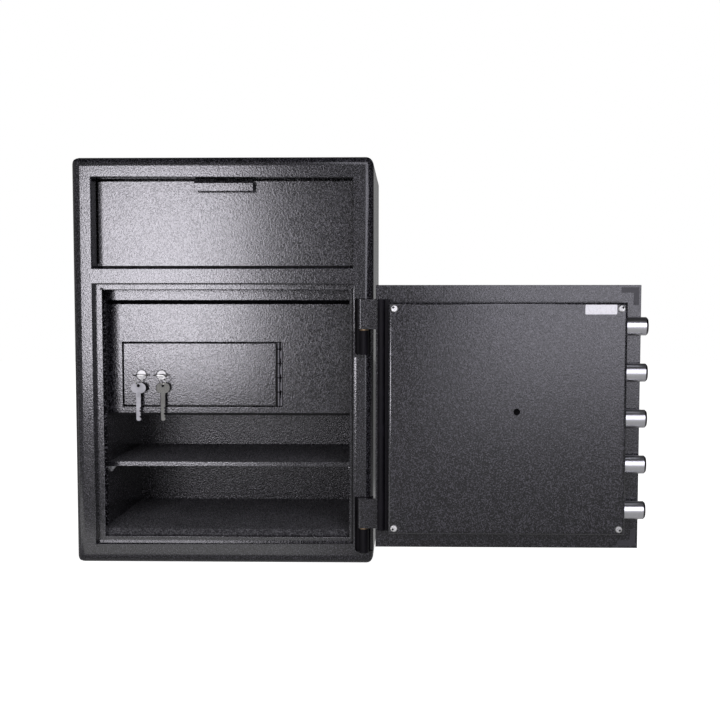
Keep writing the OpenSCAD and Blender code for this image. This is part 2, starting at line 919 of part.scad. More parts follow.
// The door's half of one hinge: a block on the pin and a strap on the plate's outer face
module door_hinge(z) {
    low = z + washer_t;
    strap_in = plate_half - strap_len;
    corner_r = 4;
    color(black_coat)
        swung_open()
            difference() {
                translate([0, 0, low])
                    linear_extrude(block_h)
                        difference() {
                            union() {
                                translate([plate_half + block_gap, hinge_y - block_out])
                                    square([hinge_x + block_near - plate_half - block_gap - corner_r,
                                            front_y - block_in - hinge_y + block_out]);
                                translate([plate_half + block_gap, hinge_y - block_out + corner_r])
                                    square([hinge_x + block_near - plate_half - block_gap,
                                            front_y - block_in - hinge_y + block_out - 2 * corner_r]);
                                for (y = [hinge_y - block_out + corner_r, front_y - block_in - corner_r])
                                    translate([hinge_x + block_near - corner_r, y])
                                        circle(r = corner_r);
                                translate([strap_in, front_y - strap_t])
                                    square([plate_half - strap_in, strap_t]);
                                translate([plate_half - past, front_y - strap_t])
                                    square([block_gap + 2 * past, strap_t - block_in]);
                            }
                        }
                translate([hinge_x, hinge_y, low - past])
                    cylinder(r = pin_r + run_fit, h = block_h - 4 + past);
            }
}

module door_plate() {
    color(black_coat)
        swung_open()
            difference() {
                span([-plate_half, front_y, plate_z], [plate_half, plate_in, plate_z + plate_h]);
                bar_y_axis(-handle_x, lock_z, front_y - past, plate_in + past, bush_r);
                bar_y_axis(-dial_x, lock_z, front_y - past, plate_in + past, dial_spindle_d / 2 + 1);
            }
}

function bolt_z(i) = door_mid_z + (i - 2) * bolt_gap;
screw_places = [for (x = [box_left + screw_in, box_right - screw_in],
                     z = [box_z + screw_in, box_z + box_h - screw_in]) [x, z]];

module door_box() {
    left = box_left + wall_in;
    right = box_right - wall_in;
    low = box_z + wall_in;
    high = box_z + box_h - wall_in;
    color(black_coat)
        swung_open()
            difference() {
                union() {
                    difference() {
                        span([left, plate_in, low], [right, cover_in, high]);
                        span([left + box_t, plate_in - past, low + box_t],
                             [right - box_t, cover_in + past, high - box_t]);
                    }
                    for (x = [left, right - tab_size], z = [low, high - tab_size])
                        span([x, cover_in - tab_t, z], [x + tab_size, cover_in, z + tab_size]);
                }
                for (p = screw_places)
                    bar_y_axis(p[0], p[1], plate_in, cover_y, thread_d / 2);
                for (i = [0 : 4])
                    bar_x_axis(bolt_y, bolt_z(i), left - past, left + box_t + past, bolt_r + 0.5);
            }
}

module door_cover() {
    color(black_coat)
        swung_open()
            difference() {
                span([box_left, cover_in - cover_bend, box_z], [box_right, cover_y, box_z + box_h]);
                span([box_left + box_t, plate_in, box_z + box_t],
                     [box_right - box_t, cover_in, box_z + box_h - box_t]);
                for (p = screw_places)
                    bar_y_axis(p[0], p[1], plate_in, cover_y + past, thread_d / 2 + 0.2);
                bar_y_axis(-dial_x, lock_z, plate_in, cover_y + past, change_hole_d / 2);
                for (i = [0 : 4])
                    bar_x_axis(bolt_y, bolt_z(i), box_left - past, box_left + box_t + past, bolt_r + 0.5);
            }
}

module cover_screws() {
    head_h = 3;
    slot_w = 1.6;
    color(bright)
        swung_open()
            for (p = screw_places) {
                bar_y_axis(p[0], p[1], cover_in - tab_t - 5, cover_y, thread_d / 2);
                translate([p[0], cover_y, p[1]])
                    rotate([-90, 0, 0])
                        difference() {
                            rotate_extrude()
                                difference() {
                                    square([screw_head_d / 2, head_h]);
                                    translate([screw_head_d / 2 - 1.2, head_h])
                                        rotate(-45)
                                            square([3, 3]);
                                }
                            for (a = [0, 90])
                                rotate([0, 0, a])
                                    translate([-screw_head_d / 4, -slot_w / 2, head_h - 1.2])
                                        cube([screw_head_d / 2, slot_w, 2]);
                        }
            }
}

// The fixed bar that hooks behind the frame on the hinge side
module dead_bar() {
    bar_r = 6;
    bar_back = bolt_y + 1;
    bar_left = plate_half - 3.5 - dead_bar_w;
    color(black_coat)
        swung_open()
            translate([0, 0, door_mid_z - dead_bar_len / 2 + 3.5])
                linear_extrude(dead_bar_len) {
                    translate([bar_left + dead_bar_w / 2, bar_back - dead_bar_d / 2])
                        round_rect(dead_bar_w, dead_bar_d, bar_r);
                    translate([box_right - wall_in, bar_back - dead_bar_d / 2 - 4])
                        square([bar_left - box_right + wall_in + bar_r, 8]);
                }
}

module bolt_guide() {
    foot = 14;
    low = bolt_z(0) - bolt_r - 8;
    high = bolt_z(4) + bolt_r + 8;
    color(steel)
        swung_open()
            difference() {
                union() {
                    span([guide_x, plate_in, low], [guide_x + guide_t, cover_in - tab_t - 0.5, high]);
                    span([guide_x - foot, plate_in, low], [guide_x + bite, plate_in + 3, high]);
                }
                for (i = [0 : 4])
                    bar_x_axis(bolt_y, bolt_z(i), guide_x - foot - past, guide_x + guide_t + past,
                               bolt_r + run_fit);
            }
}

module locking_bolt(i) {
    chamfer = 3;
    color(bright)
        swung_open()
            translate([bolt_tip, bolt_y, bolt_z(i)])
                rotate([0, 90, 0])
                    rotate_extrude()
                        polygon([
                            [0, 0.6], [bolt_r - chamfer - 1.5, 0.6], [bolt_r - chamfer - 0.9, 0],
                            [bolt_r - chamfer, 0], [bolt_r, chamfer], [bolt_r, bolt_len], [0, bolt_len]]);
}

// The bar that carries the bolts, with the arm and the pin that the cam drives
module bolt_bar() {
    low = bolt_z(0) - bar_over;
    high = bolt_z(4) + bar_over;
    arm_low = lock_z + spindle_d / 2 + 1;
    color(steel)
        swung_open() {
            front_plate(bar_y, bar_y + bar_t)
                translate([bolt_tail + bar_w / 2, (low + high) / 2])
                    round_rect(bar_w, high - low, 5);
            span([bolt_tail + bar_w - 2, bar_y, arm_low], [drive_x + drive_r + 4, bar_y + arm_t, arm_low + 26]);
            bar_y_axis(drive_x, drive_z, bar_y + arm_t - bite, cam_y + cam_t, drive_r);
        }
}

// The fork that the handle turns; its slot takes the bar's pin
module drive_cam() {
    color(steel)
        swung_open()
            translate([-handle_x, cam_y, lock_z])
                rotate([0, -135, 0])
                    front_plate(0, cam_t)
                        difference() {
                            union() {
                                circle(r = cam_hub_r);
                                translate([0, -cam_w / 2])
                                    square([cam_reach, cam_w]);
                            }
                            circle(d = spindle_d);
                            translate([half_throw - slot_r + 1, -slot_r])
                                square([cam_reach, 2 * slot_r]);
                        }
}

module handle_spindle() {
    color(steel)
        swung_open()
            bar_y_axis(-handle_x, lock_z, handle_front + 10, cam_y + cam_t, spindle_d / 2);
}

module handle_escutcheon() {
    color(bright)
        swung_open()
            difference() {
                union() {
                    bar_y_axis(-handle_x, lock_z, front_y - escutcheon_t, front_y, escutcheon_r);
                    bar_y_axis(-handle_x, lock_z, front_y - bite, plate_in, bush_r);
                }
                bar_y_axis(-handle_x, lock_z, front_y - escutcheon_t - past, plate_in + past,
                           spindle_d / 2 + run_fit);
            }
}

// The lever outside the door: a hub, and a bar that ends in a ball
module handle_lever() {
    hub_r = 17;
    hub_len = 26;
    lever_y = handle_front + hub_len / 2;
    color(bright)
        swung_open()
            translate([-handle_x, 0, lock_z])
                difference() {
                    union() {
                        bar_y_axis(0, 0, handle_front, handle_front + hub_len, hub_r);
                        bar_y_axis(0, 0, handle_front + hub_len, front_y - escutcheon_t - 0.5, hub_r - 5);
                        translate([0, lever_y, -lever_len])
                            cylinder(d = lever_d, h = lever_len);
                        translate([0, lever_y, -lever_len])
                            sphere(d = lever_d + 6);
                    }
                    bar_y_axis(0, 0, handle_front + 10, front_y, spindle_d / 2);
                }
}

module hardplate() {
    color(steel)
        swung_open()
            difference() {
                span([-dial_x - plate_hard / 2, plate_in, lock_z - plate_hard / 2],
                     [-dial_x + plate_hard / 2, plate_in + hard_t, lock_z + plate_hard / 2]);
                bar_y_axis(-dial_x, lock_z, front_y, cover_y, dial_spindle_d / 2 + 1);
            }
}

module lock_case() {
    case_y = plate_in + hard_t;
    color(brassy)
        swung_open()
            difference() {
                span([-dial_x - case_w / 2, case_y, lock_z - lock_case_h / 2],
                     [-dial_x + case_w / 2, case_y + case_d, lock_z + lock_case_h / 2]);
                bar_y_axis(-dial_x, lock_z, front_y, case_y + case_d - 8, dial_spindle_d / 2 + run_fit);
                bar_y_axis(-dial_x, lock_z, case_y + case_d - 4, cover_y, change_hole_d / 2 - 2);
            }
}

module dial_ring() {
    color(bright)
        swung_open()
            translate([-dial_x, front_y, lock_z])
                rotate([90, 0, 0])
                    rotate_extrude()
                        polygon([
                            [dial_spindle_d / 2 + 1, 0], [dial_ring_r, 0], [dial_ring_r, dial_ring_t - 2],
                            [dial_ring_r - 2, dial_ring_t], [dial_d / 2 + 2, dial_ring_t],
                            [dial_d / 2 + 1, 2], [dial_spindle_d / 2 + 1, 2]]);
}

// The dial: a disc with a sloped rim for the numbers and a knurled knob
module combination_dial() {
    knob_r = dial_d * 0.27;
    ribs = 36;
    rim_y = 3;
    color(steel)
        swung_open()
            translate([-dial_x, front_y, lock_z])
                rotate([90, 0, 0])
                    difference() {
                        union() {
                            rotate_extrude()
                                polygon([
                                    [0, rim_y], [dial_d / 2, rim_y], [dial_d / 2, rim_y + 4],
                                    [knob_r + 2, rim_y + 9], [knob_r, rim_y + 9], [knob_r - 1, rim_y + 26],
                                    [knob_r - 3, rim_y + 28], [0, rim_y + 28]]);
                            for (i = [0 : ribs - 1])
                                rotate([0, 0, i * 360 / ribs])
                                    translate([knob_r - 0.8, 0, rim_y + 9])
                                        cylinder(r = 1.1, h = 15, $fn = 16);
                        }
                        translate([0, 0, -past])
                            cylinder(d = dial_spindle_d, h = rim_y + 12);
                    }
}

module dial_spindle() {
    color(steel)
        swung_open()
            bar_y_axis(-dial_x, lock_z, front_y - 14, plate_in + hard_t + case_d - 8, dial_spindle_d / 2);
}

// The pressed hopper front with its bent edges
module hopper_panel() {
    color(black_coat)
        difference() {
            span([-panel_half, panel_y, panel_z], [panel_half, panel_y + panel_bend, panel_top]);
            span([-panel_half + hopper_t, panel_y + hopper_t, panel_z - past],
                 [panel_half - hopper_t, panel_y + panel_bend + past, panel_top - hopper_t]);
            bar_x_axis(rod_y, rod_z, -body_w, body_w, rod_r + run_fit);
        }
}

// The lip that is pulled to tilt the hopper: a bent strip with a rounded top
module hopper_pull() {
    bend_r = 5;
    front = panel_y - pull_out;
    color(black_coat)
        side_plate(-pull_len / 2, pull_len / 2)
            difference() {
                union() {
                    translate([front, panel_top - pull_h])
                        square([pull_out, pull_h - bend_r]);
                    translate([front + bend_r, panel_top - pull_h])
                        square([pull_out - bend_r, pull_h]);
                    translate([front + bend_r, panel_top - bend_r])
                        circle(r = bend_r);
                }
                translate([front + pull_t, panel_top - pull_h - past])
                    square([pull_out, pull_h - bend_r + past]);
                translate([front + bend_r, panel_top - pull_h - past])
                    square([pull_out, pull_h - pull_t + past]);
                translate([front + bend_r, panel_top - bend_r])
                    circle(r = bend_r - pull_t);
            }
}

// The tray behind the panel, with a cheek on each side
module hopper_tray() {
    back = tray_len * cos(tray_slope);
    drop = tray_len * sin(tray_slope);
    cheek_h = panel_top - hopper_t - rod_z - 2;
    color(liner_coat)
        difference() {
            union() {
                side_plate(-tray_half, tray_half)
                    translate([rod_y, rod_z])
                        rotate(-tray_slope)
                            translate([0, tube_r - hopper_t - 0.5])
                                square([tray_len - 4, hopper_t]);
                for (x = [-tray_half, tray_half - hopper_t])
                    side_plate(x, x + hopper_t)
                        translate([rod_y, rod_z])
                            polygon([
                                [-tube_r, 2], [0, 0], [back - 4, -drop + 2],
                                [back + 2, 0], [tray_len, 10], [tray_len - 4, cheek_back_h],
                                [panel_bend, cheek_h], [-tube_r, cheek_h]]);
            }
            bar_x_axis(rod_y, rod_z, -body_w, body_w, tube_r);
        }
}

module hopper_hinge_tube() {
    color(steel)
        difference() {
            bar_x_axis(rod_y, rod_z, -tray_half, tray_half, tube_r);
            bar_x_axis(rod_y, rod_z, -body_w, body_w, rod_r + run_fit);
        }
}

front_frame();
body_wrap();
back_panel();
door_stop_frame();
hopper_surround();
hopper_rod();
inner_liner();
anti_fish_baffle();
chute_pan();
shelf();
shelf_mat();
shelf_clips();
floor_mat();
locker_face();
locker_box();
locker_fixed_leaf();
locker_hinge_pin();
frame_hinge(upper_z);  // frame_hinge_upper
frame_hinge(lower_z);  // frame_hinge_lower
hinge_pins();
hinge_washers();
hopper_panel();
hopper_pull();
hopper_tray();
hopper_hinge_tube();
door_plate();
door_box();
door_cover();
cover_screws();
door_hinge(upper_z);  // door_hinge_upper
door_hinge(lower_z);  // door_hinge_lower
dead_bar();
bolt_guide();
hardplate();
lock_case();
dial_ring();
handle_escutcheon();
locking_bolt(0);  // locking_bolt_1
locking_bolt(1);  // locking_bolt_2
locking_bolt(2);  // locking_bolt_3
locking_bolt(3);  // locking_bolt_4
locking_bolt(4);  // locking_bolt_5
bolt_bar();
drive_cam();
handle_spindle();
handle_lever();
combination_dial();
dial_spindle();
locker_door_panel();
locker_moving_leaf();
locker_lock();
locker_catch();
lock_nose(nose_left_x);  // nose_left
fitted_key(nose_left_x, left_cuts);  // key_left
key_ring(nose_left_x, left_turn);  // ring_left
lock_nose(nose_right_x);  // nose_right
fitted_key(nose_right_x, right_cuts);  // key_right
key_ring(nose_right_x, right_turn);  // ring_right
hanging_key(nose_left_x, left_turn, 0, left_cuts);  // spare_key_left
hanging_key(nose_right_x, right_turn, right_spare_turn, right_cuts);  // spare_key_right
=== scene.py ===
"""Drop safe with a tilting deposit hopper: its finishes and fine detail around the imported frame.

Lengths are in metres in the frame's own axes: +Z is up, -Y is the front, and the door hangs open on +X.
"""

import json
import math

import bmesh
import bpy
from mathutils import Matrix, Vector


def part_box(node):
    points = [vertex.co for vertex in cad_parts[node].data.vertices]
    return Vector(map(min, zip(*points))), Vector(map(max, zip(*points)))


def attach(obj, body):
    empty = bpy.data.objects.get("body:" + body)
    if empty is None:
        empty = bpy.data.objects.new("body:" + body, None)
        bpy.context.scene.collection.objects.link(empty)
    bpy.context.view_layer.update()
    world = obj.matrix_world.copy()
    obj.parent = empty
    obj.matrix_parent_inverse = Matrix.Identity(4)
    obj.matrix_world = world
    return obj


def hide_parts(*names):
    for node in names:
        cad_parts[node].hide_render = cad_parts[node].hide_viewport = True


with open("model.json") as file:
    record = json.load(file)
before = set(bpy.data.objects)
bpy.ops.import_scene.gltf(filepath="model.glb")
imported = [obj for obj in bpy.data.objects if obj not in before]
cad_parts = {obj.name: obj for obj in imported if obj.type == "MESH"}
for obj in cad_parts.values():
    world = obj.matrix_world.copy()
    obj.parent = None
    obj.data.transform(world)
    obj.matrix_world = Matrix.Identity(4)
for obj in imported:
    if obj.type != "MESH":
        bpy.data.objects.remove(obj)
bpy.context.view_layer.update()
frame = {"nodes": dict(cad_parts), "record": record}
scene = bpy.context.scene
MM = 0.001
# Points nearer than CLOSE are level with each other, and points nearer than MERGED are one
CLOSE = 0.01 * MM
MERGED = 0.001 * MM
BODY_OF = {n: body for body, ns in frame["record"]["behaviour"]["bodies"].items() for n in ns}
SLOT_OF = {part["node"]: part["material_slot"] for part in frame["record"]["subparts"]}
BOLTS = ["locking_bolt_%d" % i for i in range(1, 6)]
# The shared axis of the dial and of the change-key hole, in millimetres
SPINDLE_X, SPINDLE_Z = 489.7, 266.0


# ---- Shader maths ----


class Level:
    """A number that varies over a surface. Its operators add the Math nodes."""

    def __init__(self, finish, socket):
        self.finish = finish
        self.socket = socket

    def math(self, operation, *others):
        values = dict(enumerate((self, *others)))
        return self.finish.add("ShaderNodeMath", {"operation": operation}, values)

    def __add__(self, other):
        return self.math("ADD", other)

    def __mul__(self, other):
        return self.math("MULTIPLY", other)

    def __sub__(self, other):
        return self.math("SUBTRACT", other)

    def __rsub__(self, other):
        return self.finish.add("ShaderNodeMath", {"operation": "SUBTRACT"}, {0: other, 1: self})

    __radd__ = __add__
    __rmul__ = __mul__

    def at_least(self, other):
        return self.math("MAXIMUM", other)

    def at_most(self, other):
        return self.math("MINIMUM", other)

    def size(self):
        return self.math("ABSOLUTE")

    def eased(self, low, high):
        """0 below low, 1 above high, and a smooth step between them."""
        ends = {"Value": self, "From Min": low, "From Max": high}
        return self.finish.add("ShaderNodeMapRange", {"interpolation_type": "SMOOTHSTEP"}, ends)


class Finish:
    """One node material. add() places a node: its settings first, then its sockets' values or links."""

    def __init__(self, name, **constants):
        self.material = bpy.data.materials.new(name)
        self.material.use_nodes = True
        self.tree = self.material.node_tree
        self.shader = self.tree.nodes["Principled BSDF"]
        for socket, value in constants.items():
            self.shader.inputs[socket.replace("_", " ")].default_value = value

    def add(self, kind, settings=None, inputs=None, output=0):
        node = self.tree.nodes.new(kind)
        for name, value in (settings or {}).items():
            setattr(node, name, value)
        for name, value in (inputs or {}).items():
            self.feed(node.inputs[name], value)
        return Level(self, node.outputs[output])

    def feed(self, socket, value):
        if isinstance(value, Level):
            self.tree.links.new(value.socket, socket)
        else:
            socket.default_value = value

    def set(self, socket, value):
        self.feed(self.shader.inputs[socket], value)

    def place(self):
        """Where a point lies on the object, in metres."""
        return self.add("ShaderNodeTexCoord", output="Object")

    def axes(self, point):
        parts = self.add("ShaderNodeSeparateXYZ", inputs={0: point}).socket.node
        return [Level(self, output) for output in parts.outputs]

    def stretched(self, point, scale):
        """The point with each axis scaled, so that a pattern is drawn out along the axes of low scale."""
        return self.add("ShaderNodeMapping", inputs={"Vector": point, "Scale": scale})

    def noise(self, point, scale, detail=2.0, roughness=0.5):
        values = {"Vector": point, "Scale": scale, "Detail": detail, "Roughness": roughness}
        return self.add("ShaderNodeTexNoise", inputs=values)

    def cells(self, point, scale, smoothness=0.5):
        """How far the middle of the nearest cell is."""
        values = {"Vector": point, "Scale": scale, "Smoothness": smoothness}
        return self.add("ShaderNodeTexVoronoi", {"feature": "SMOOTH_F1"}, values, "Distance")

    def nudged(self, point, scale, distance):
        """The point, pushed about by noise, so that cells lose their straight borders."""
        push = self.add("ShaderNodeTexNoise", inputs={"Vector": point, "Scale": scale}, output="Color")
        centred = self.add("ShaderNodeVectorMath", {"operation": "SUBTRACT"}, {0: push, 1: (0.5, 0.5, 0.5)})
        small = self.add("ShaderNodeVectorMath", {"operation": "SCALE"}, {0: centred, "Scale": distance})
        return self.add("ShaderNodeVectorMath", {"operation": "ADD"}, {0: point, 1: small})

    def tint(self, amount, low, high):
        """A colour from low to high as the amount goes from 0 to 1."""
        values = {"Factor": amount, "A": (*low, 1.0), "B": (*high, 1.0)}
        node = self.tree.nodes.new("ShaderNodeMix")
        node.data_type = "RGBA"
        for socket in node.inputs:
            if socket.enabled and socket.name in values:
                self.feed(socket, values[socket.name])
        return Level(self, next(s for s in node.outputs if s.enabled))

    def bump(self, height, depth):
        """Raises the surface by depth metres where height is 1."""
        self.set("Normal", self.add("ShaderNodeBump", inputs={"Height": height, "Distance": depth}))


# ---- Finishes ----


# The heights over which the roof's flat top begins, and the depths over which the face plate ends
ROOF_TOP = (0.6848, 0.6857)
BEHIND_FACE_PLATE = (-0.248, -0.238)


def hammered_coat():
    """Black powder coat: shiny orange peel with small pits and paler specks, and fine dust on the roof."""
    coat = Finish("hammered_coat", Specular_IOR_Level=0.5, IOR=1.5)
    point = coat.place()
    loose = coat.nudged(point, scale=420, distance=1 * MM)
    pits = coat.cells(loose, scale=400, smoothness=0.3).eased(0.45, 0.75)
    orange_peel = coat.noise(point, scale=380, detail=1.0)
    scattered = coat.nudged(point, scale=200, distance=2 * MM)
    specks = coat.noise(scattered, scale=540, detail=1.0).eased(0.47, 0.66)
    swell = coat.noise(point, scale=9, detail=2.0)
    coat.bump((1 - pits) * 0.25 + orange_peel * 0.75, depth=0.10 * MM)
    coat.set("Base Color", coat.tint(specks, (0.004, 0.004, 0.005), (0.062, 0.060, 0.069)))
    depth, height = coat.axes(point)[1:]
    dusty_roof = height.eased(*ROOF_TOP) * depth.eased(*BEHIND_FACE_PLATE)
    coat.set("Roughness", 0.13 + (swell - 0.5) * 0.04 + pits * 0.08 + dusty_roof * 0.32)
    return coat.material


def liner_coat():
    """Coarser and duller black coat of the sheets inside."""
    coat = Finish("liner_coat", Specular_IOR_Level=0.4)
    point = coat.place()
    loose = coat.nudged(point, scale=300, distance=1 * MM)
    grain = coat.cells(loose, scale=400, smoothness=0.3)
    scattered = coat.nudged(point, scale=150, distance=3 * MM)
    speck = coat.noise(scattered, scale=380, detail=1.0).eased(0.52, 0.70)
    coat.bump((1 - grain) * 0.5 + coat.noise(point, scale=360, detail=1.0) * 0.5, depth=0.30 * MM)
    coat.set("Base Color", coat.tint(speck, (0.005, 0.005, 0.006), (0.180, 0.175, 0.190)))
    coat.set("Roughness", 0.24 + (coat.noise(point, scale=12) - 0.5) * 0.08)
    return coat.material


def dead_bar_coat():
    """Smooth black paint with a faint purple cast, slightly dusty."""
    paint = Finish("dead_bar_coat", Specular_IOR_Level=0.10)
    point = paint.place()
    dust = paint.noise(point, scale=40, detail=4.0).eased(0.45, 0.75)
    paint.set("Base Color", paint.tint(dust, (0.004, 0.0035, 0.005), (0.009, 0.008, 0.011)))
    paint.set("Roughness", 0.5 + dust * 0.12)
    paint.bump(paint.noise(point, scale=300, detail=2.0), depth=0.03 * MM)
    return paint.material


def carpet_pile():
    """Short black pile, with lighter fibre tips."""
    pile = Finish(
        "carpet", Specular_IOR_Level=0.15, Roughness=0.95, Sheen_Weight=0.06, Sheen_Roughness=0.5
    )
    point = pile.place()
    tufts = pile.noise(point, scale=420, detail=3.0, roughness=0.65)
    patches = pile.noise(point, scale=18, detail=2.0)
    shade = tufts.eased(0.38, 0.72) * 0.8 + patches * 0.2
    pile.set("Base Color", pile.tint(shade, (0.006, 0.006, 0.007), (0.150, 0.149, 0.155)))
    pile.bump(tufts, depth=0.6 * MM)
    return pile.material


# How often the lines of wear cross each axis in a metre
TURNED_ON_X = (900, 90, 90)
TURNED_ON_Y = (300, 900, 300)
BRUSHED_LEVEL = (60, 60, 900)
POLISHED_LEVEL = (300, 300, 900)


def metal(name, light, dark, roughness, grain_scale, grain_depth):
    """A bare metal: tarnish between two tones, and fine lines of wear stretched along the grain."""
    face = Finish(name, Metallic=1.0)
    point = face.place()
    lines = face.noise(face.stretched(point, grain_scale), scale=1.0, detail=3.0)
    tarnish = face.noise(point, scale=60, detail=3.0)
    face.set("Base Color", face.tint(tarnish.eased(0.35, 0.7), light, dark))
    face.set("Roughness", roughness + lines * 0.1 + (tarnish - 0.5) * 0.08)
    face.bump(lines, grain_depth)
    return face.material


# Where the painted shade on the chamfer at the bolts' end begins, in metres
SHADED_CHAMFER_X = (0.6990, 0.7002)


def bolt_chrome():
    """Brushed chrome, with painted shade on the chamfer at the bolt's end: its base colour is darkened to
    stand for the dark it reflects.
    """
    face = Finish("bolt_chrome", Metallic=1.0)
    point = face.place()
    # The end's base colour turns dark here: painted shade, not a darker metal
    end = face.axes(point)[0].eased(*SHADED_CHAMFER_X)
    lines = face.noise(face.stretched(point, TURNED_ON_X), scale=1.0, detail=3.0)
    shade = (end + lines * 0.2).at_most(1)
    face.set("Base Color", face.tint(shade, (0.66, 0.66, 0.68), (0.07, 0.065, 0.07)))
    face.set("Roughness", 0.26 + lines * 0.1)
    face.bump(lines, depth=0.01 * MM)
    return face.material


KNUCKLE = 25 * MM


def hinge_steel():
    """Painted steel of the lock box's piano hinge, with a dark joint between its knuckles."""
    face = Finish("hinge_steel", Metallic=1.0)
    point = face.place()
    knuckles = face.axes(point)[2] * (1 / KNUCKLE)
    joint = (knuckles - knuckles.math("FLOOR") - 0.5).size()
    wear = face.noise(point, scale=500, detail=2.0)
    tone = (joint.eased(0.03, 0.05) - wear * 0.4).at_least(0)
    face.set("Base Color", face.tint(tone, (0.006, 0.006, 0.006), (0.13, 0.128, 0.135)))
    face.set("Roughness", 0.42 + wear * 0.1)
    face.bump(wear, depth=0.04 * MM)
    return face.material


# Where the painted highlight on the left key begins and ends, and where that on the right key begins;
# elsewhere the keys are painted in shade
LEFT_KEY_HIGHLIGHT_FROM, LEFT_KEY_HIGHLIGHT_TO = (-0.1616, -0.1600), (-0.1360, -0.1345)
RIGHT_KEY_HIGHLIGHT_FROM = (-0.1264, -0.1248)


def fitted_key():
    """Nickel of the fitted keys, with a painted highlight beside the lock's nose and painted shade to its
    left, and a little random wear.
    """
    face = Finish("fitted_key", Metallic=1.0)
    point = face.place()
    across = face.axes(point)[0]
    # A band of painted highlight round each nose, with painted shade outside it
    bright = across.eased(*LEFT_KEY_HIGHLIGHT_FROM) - across.eased(*LEFT_KEY_HIGHLIGHT_TO) + across.eased(*RIGHT_KEY_HIGHLIGHT_FROM)
    wear = face.noise(point, scale=60, detail=3.0) * 0.3
    shade = (bright - wear).at_least(0)
    face.set("Base Color", face.tint(shade, (0.10, 0.095, 0.085), (0.60, 0.60, 0.58)))
    face.set("Roughness", 0.42 + wear * 0.3)
    face.bump(face.noise(face.stretched(point, POLISHED_LEVEL), scale=1.0, detail=3.0), depth=0.03 * MM)
    return face.material


def dial_black():
    """Satin black of the dial, worn a little on the ribs of the knob."""
    paint = Finish("dial_black", Specular_IOR_Level=0.5)
    point = paint.place()
    wear = paint.noise(point, scale=500, detail=3.0).eased(0.62, 0.8)
    paint.set("Base Color", paint.tint(wear, (0.018, 0.018, 0.019), (0.07, 0.07, 0.072)))
    paint.set("Roughness", 0.34 + wear * 0.2)
    paint.bump(paint.noise(point, scale=1500, detail=2.0), depth=0.02 * MM)
    return paint.material


def painted_shade_black():
    """Dull black for painted shade in gaps and recesses, which stays dark under the lamps."""
    shade_paint = Finish("painted_shade_black", Specular_IOR_Level=0.08)
    point = shade_paint.place()
    bloom = shade_paint.noise(point, scale=700, detail=3.0)
    shade_paint.set("Base Color", shade_paint.tint(bloom, (0.008, 0.008, 0.008), (0.016, 0.016, 0.016)))
    shade_paint.set("Roughness", 0.75 + bloom * 0.15)
    shade_paint.bump(bloom, depth=0.03 * MM)
    return shade_paint.material


def dial_white():
    """Fired white paint in the dial's marks."""
    paint = Finish("dial_white", Specular_IOR_Level=0.4)
    point = paint.place()
    worn = paint.noise(point, scale=900, detail=3.0).eased(0.5, 0.8)
    paint.set("Base Color", paint.tint(worn, (0.78, 0.77, 0.74), (0.60, 0.59, 0.56)))
    paint.set("Roughness", 0.5 + worn * 0.2)
    return paint.material


def sticker_paper():
    """Blank glossy paper, raised a little by the coat's pebbles under it, and darker in the hollows between
    them as painted shade.
    """
    paper = Finish("sticker_paper", Specular_IOR_Level=0.5)
    point = paper.place()
    mottle = paper.cells(point, scale=400)
    # Darker where the paper dips between pebbles: painted shade
    paper.set("Base Color", paper.tint(mottle.eased(0.3, 0.9), (0.93, 0.93, 0.94), (0.80, 0.80, 0.81)))
    paper.set("Roughness", 0.35 + mottle * 0.15)
    paper.bump(1 - mottle, depth=0.06 * MM)
    return paper.material


def corner_film():
    """Dark plastic film over the paint, which hides most of the pebbles."""
    film = Finish("corner_film", Specular_IOR_Level=0.45)
    point = film.place()
    ghost = film.noise(point, scale=420, detail=2.0)
    film.set("Base Color", film.tint(ghost, (0.016, 0.015, 0.019), (0.030, 0.029, 0.034)))
    film.set("Roughness", 0.34 + ghost * 0.1)
    film.bump(ghost, depth=0.02 * MM)
    return film.material


# Each metal's light and dark tones, its roughness, and the direction and depth of its lines
METALS = {
    "bare_steel": ((0.50, 0.50, 0.51), (0.36, 0.36, 0.37), 0.34, BRUSHED_LEVEL, 0.03 * MM),
    "chrome": ((0.74, 0.74, 0.76), (0.62, 0.62, 0.64), 0.27, TURNED_ON_X, 0.01 * MM),
    "nickel": ((0.70, 0.69, 0.66), (0.55, 0.54, 0.52), 0.24, POLISHED_LEVEL, 0.02 * MM),
    "brass": ((0.78, 0.56, 0.30), (0.60, 0.42, 0.20), 0.28, TURNED_ON_X, 0.02 * MM),
    # nickel_shaded is nickel painted darker and rougher, as painted shade on the left spare key, which would
    # otherwise mirror the key lamp white
    "nickel_shaded": ((0.32, 0.32, 0.33), (0.24, 0.24, 0.25), 0.50, POLISHED_LEVEL, 0.03 * MM),
    "nickel_plain": ((0.52, 0.52, 0.51), (0.44, 0.44, 0.43), 0.42, TURNED_ON_Y, 0.02 * MM),
    "brass_dull": ((0.30, 0.22, 0.14), (0.18, 0.13, 0.08), 0.50, TURNED_ON_X, 0.02 * MM),
}
METAL = {name: metal(name, *values) for name, values in METALS.items()}
# The finish of each of the record's slots
FINISH = {
    "hammered_coat": hammered_coat(),
    "dead_bar_coat": dead_bar_coat(),
    "liner_coat": liner_coat(),
    "carpet": carpet_pile(),
    "dial_black": dial_black(),
    **{slot: METAL[slot] for slot in ("bare_steel", "chrome", "nickel", "brass")},
}
DIAL_WHITE = dial_white()
STICKER_PAPER = sticker_paper()
CORNER_FILM = corner_film()
# A dull black used only for painted shade in gaps and recesses
PAINTED_SHADE_BLACK = painted_shade_black()
